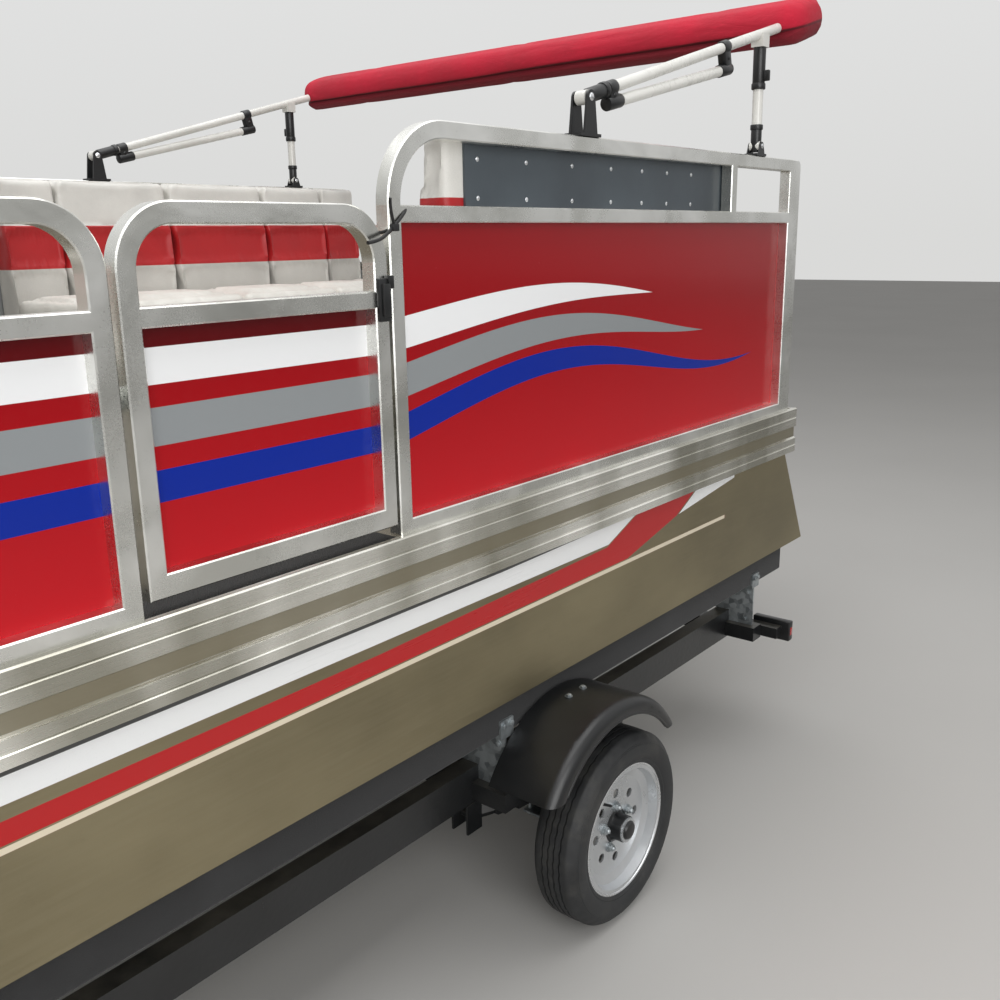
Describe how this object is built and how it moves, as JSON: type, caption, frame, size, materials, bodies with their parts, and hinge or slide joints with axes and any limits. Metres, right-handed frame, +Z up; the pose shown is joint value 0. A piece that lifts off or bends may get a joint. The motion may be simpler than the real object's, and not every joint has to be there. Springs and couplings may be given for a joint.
{
  "type": "pontoon boat on trailer",
  "caption": "Open-deck pontoon boat with railed sides, bench seats, folded canopy and outboard, standing on its bunk trailer.",
  "frame": {"origin": "on the ground under the middle of the overall length, on the centre plane", "axes": "+X towards the bow and the trailer's coupler, +Y to port, +Z up"},
  "size_m": [8.1438, 2.446, 2.537],
  "materials": {
    "pontoon_metal": "satin, brushed",
    "bright_metal": "mill finish, brushed",
    "deck_floor": "matt floor covering",
    "red_panel": "gloss",
    "pale_plastic": "satin",
    "pale_vinyl": "satin grained vinyl",
    "charcoal_plastic": "satin",
    "clear_screen": "clear",
    "black_rubber": "matt",
    "black_plastic": "semi-gloss",
    "white_tube": "gloss",
    "red_canvas": "woven canvas",
    "black_paint": "semi-gloss",
    "black_gloss": "gloss",
    "dark_metal": "painted",
    "zinc_steel": "galvanised",
    "carpet": "bunk carpet",
    "lamp_red": "clear red lens",
    "silver_paint": "satin",
    "tyre_rubber": "matt"
  },
  "bodies": {
    "boat_and_trailer": {"pontoon_port": "pontoon_metal", "pontoon_starboard": "pontoon_metal", "cross_beams": "pontoon_metal", "deck": "deck_floor", "deck_skirt": "bright_metal", "motor_pod": "pontoon_metal", "fence_port_aft_frame": "bright_metal", "fence_port_fwd_frame": "bright_metal", "fence_starboard_aft_frame": "bright_metal", "fence_starboard_fwd_frame": "bright_metal", "fence_end_frames": "bright_metal", "fence_port_panels": "red_panel", "fence_starboard_panels": "red_panel", "fence_end_panels": "red_panel", "gate_hinges": "bright_metal", "seat_bases": "pale_plastic", "bench_aft_cushion": "pale_vinyl", "bench_aft_back": "pale_vinyl", "lounge_aft_cushion": "pale_vinyl", "lounge_aft_back": "pale_vinyl", "bench_fwd_cushion": "pale_vinyl", "bench_fwd_back": "pale_vinyl", "lounge_back_shell": "charcoal_plastic", "helm_console": "pale_plastic", "windscreen": "clear_screen", "helm_pedestal": "bright_metal", "canopy_mounts": "black_plastic", "outboard_clamp": "black_paint", "trailer_side_beams": "black_paint", "trailer_cross_members": "black_paint", "trailer_tongue": "black_paint", "coupler": "black_paint", "trailer_jack": "zinc_steel", "winch_stand": "black_paint", "trailer_bunks": "carpet", "bunk_brackets": "zinc_steel", "trailer_axle": "black_paint", "trailer_fenders": "black_plastic", "tail_lamps": "lamp_red"},
    "gate_side": {"gate_side_frame": "bright_metal", "gate_side_panel": "red_panel"},
    "gate_bow": {"gate_bow_frame": "bright_metal", "gate_bow_panel": "red_panel"},
    "wheel_port": {"wheel_rim_port": "silver_paint", "tyre_port": "tyre_rubber"},
    "wheel_starboard": {"wheel_rim_starboard": "silver_paint", "tyre_starboard": "tyre_rubber"},
    "helm_chair": {"helm_chair_shell": "pale_plastic", "helm_chair_seat": "pale_vinyl", "helm_chair_back": "pale_vinyl"},
    "steering_wheel": {"steering_wheel": "black_rubber"},
    "canopy": {"canopy_frame": "white_tube", "canopy_boot": "red_canvas"},
    "canopy_strut_port": {"canopy_strut_port": "white_tube"},
    "canopy_strut_starboard": {"canopy_strut_starboard": "white_tube"},
    "outboard_swivel": {"outboard_swivel": "black_paint"},
    "outboard_motor": {"outboard_leg": "black_paint", "outboard_cowl": "black_gloss"},
    "propeller": {"propeller": "dark_metal"}
  },
  "joints": [
    {"name": "gate_side_swing", "type": "hinge", "parent": "boat_and_trailer", "child": "gate_side", "pos_m": [-0.861, 1.0325, 1.5], "axis": [0, 0, -1], "range_deg": [0, 90]},
    {"name": "gate_bow_swing", "type": "hinge", "parent": "boat_and_trailer", "child": "gate_bow", "pos_m": [2.4295, 0.326, 1.5], "axis": [0, 0, -1], "range_deg": [0, 90]},
    {"name": "wheel_port_spin", "type": "hinge", "parent": "boat_and_trailer", "child": "wheel_port", "pos_m": [-1.573, 1.115, 0.268], "axis": [0, 1, 0], "continuous": true},
    {"name": "wheel_starboard_spin", "type": "hinge", "parent": "boat_and_trailer", "child": "wheel_starboard", "pos_m": [-1.573, -1.115, 0.268], "axis": [0, 1, 0], "continuous": true},
    {"name": "helm_chair_swivel", "type": "hinge", "parent": "boat_and_trailer", "child": "helm_chair", "pos_m": [-0.568, -0.69, 1.58], "axis": [0, 0, 1], "continuous": true},
    {"name": "outboard_tilt", "type": "hinge", "parent": "boat_and_trailer", "child": "outboard_swivel", "pos_m": [-3.508, 0, 1.225], "axis": [0, 1, 0], "range_deg": [0, 65]},
    {"name": "outboard_steer", "type": "hinge", "parent": "outboard_swivel", "child": "outboard_motor", "pos_m": [-3.623, 0, 1.125], "axis": [0, 0, 1], "range_deg": [-30, 30]},
    {"name": "propeller_spin", "type": "hinge", "parent": "outboard_motor", "child": "propeller", "pos_m": [-4.003, 0, 0.48], "axis": [1, 0, 0], "continuous": true},
    {"name": "steering_wheel_turn", "type": "hinge", "parent": "boat_and_trailer", "child": "steering_wheel", "pos_m": [-0.03153, -0.69, 2.07016], "axis": [0.774, 0, -0.6332], "range_deg": [-540, 540]},
    {"name": "canopy_raise", "type": "hinge", "parent": "boat_and_trailer", "child": "canopy", "pos_m": [-1.528, 0, 2.14], "axis": [0, 1, 0], "range_deg": [0, 80]},
    {"name": "canopy_strut_port_fold", "type": "hinge", "parent": "boat_and_trailer", "child": "canopy_strut_port", "pos_m": [-2.433, 1.057, 2.082], "axis": [0, -1, 0], "range_deg": [0, 86]},
    {"name": "canopy_strut_starboard_fold", "type": "hinge", "parent": "boat_and_trailer", "child": "canopy_strut_starboard", "pos_m": [-2.433, -1.057, 2.082], "axis": [0, -1, 0], "range_deg": [0, 86]}
  ],
  "couplings": [
    {"joint": "steering_wheel_turn", "follows": "outboard_steer", "ratio": 18}
  ]
}
